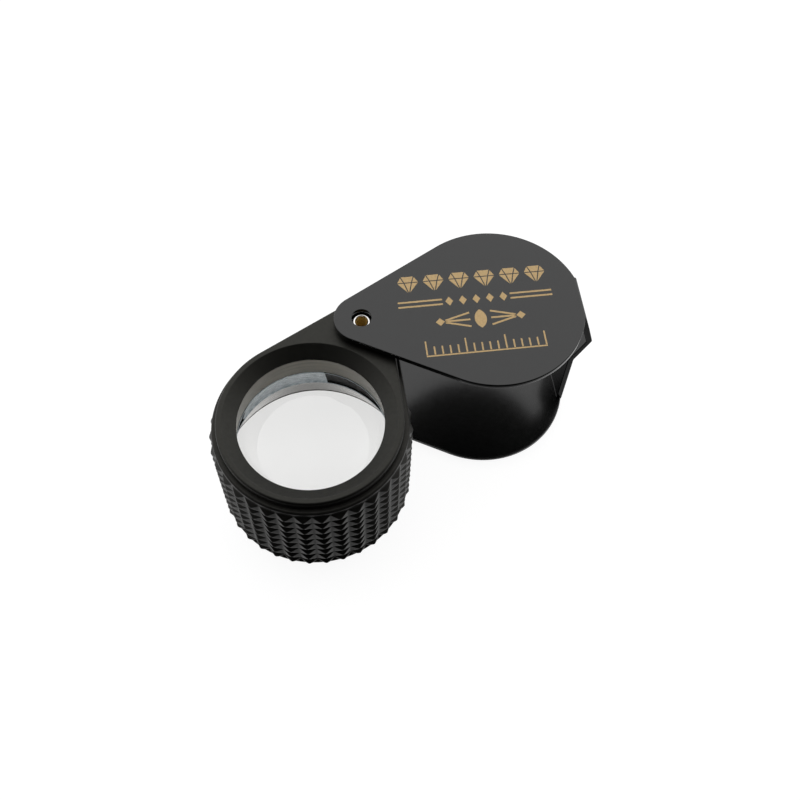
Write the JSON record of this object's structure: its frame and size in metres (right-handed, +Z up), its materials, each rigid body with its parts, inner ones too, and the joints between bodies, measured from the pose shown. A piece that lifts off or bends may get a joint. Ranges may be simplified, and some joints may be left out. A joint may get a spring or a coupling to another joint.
{
  "type": "jewelers loupe",
  "caption": "Folding jeweller's loupe: a cemented triplet in a knurled rubber-clad holder that swings out of a folded black sheet-metal case on a hollow rivet.",
  "frame": {"origin": "centre of the case's round end, on the outer face of its lower plate", "axes": "+X from the pivot towards the case's folded end, +Z up through the case, parallel to the pivot and the optical axis; the holder stands swung open on the -Y side"},
  "size_m": [0.0502, 0.0371, 0.0205],
  "materials": {
    "case_paint": "satin black",
    "rivet_brass": "polished",
    "washer_nylon": "matte",
    "holder_paint": "satin black",
    "anodised_black": "black anodised",
    "retainer_bronze": "dark bronze, satin",
    "grip_rubber": "matte, knurled",
    "lens_glass": "polished"
  },
  "bodies": {
    "case": {"case_shell": "case_paint", "pivot_rivet": "rivet_brass", "lower_pivot_washer": "washer_nylon", "upper_pivot_washer": "washer_nylon"},
    "lens_holder": {"upper_holder_plate": "holder_paint", "lower_holder_plate": "holder_paint", "pivot_bush": "anodised_black", "lens_barrel": "anodised_black", "rubber_grip": "grip_rubber", "upper_retaining_ring": "retainer_bronze", "lower_retaining_ring": "retainer_bronze", "upper_flint_lens": "lens_glass", "crown_lens": "lens_glass", "lower_flint_lens": "lens_glass"}
  },
  "joints": [
    {"name": "holder_swing", "type": "hinge", "parent": "case", "child": "lens_holder", "pos_m": [-0.0168, 0, 0.01025], "axis": [0, 0, 1], "range_deg": [-59.5, 120.5]}
  ]
}
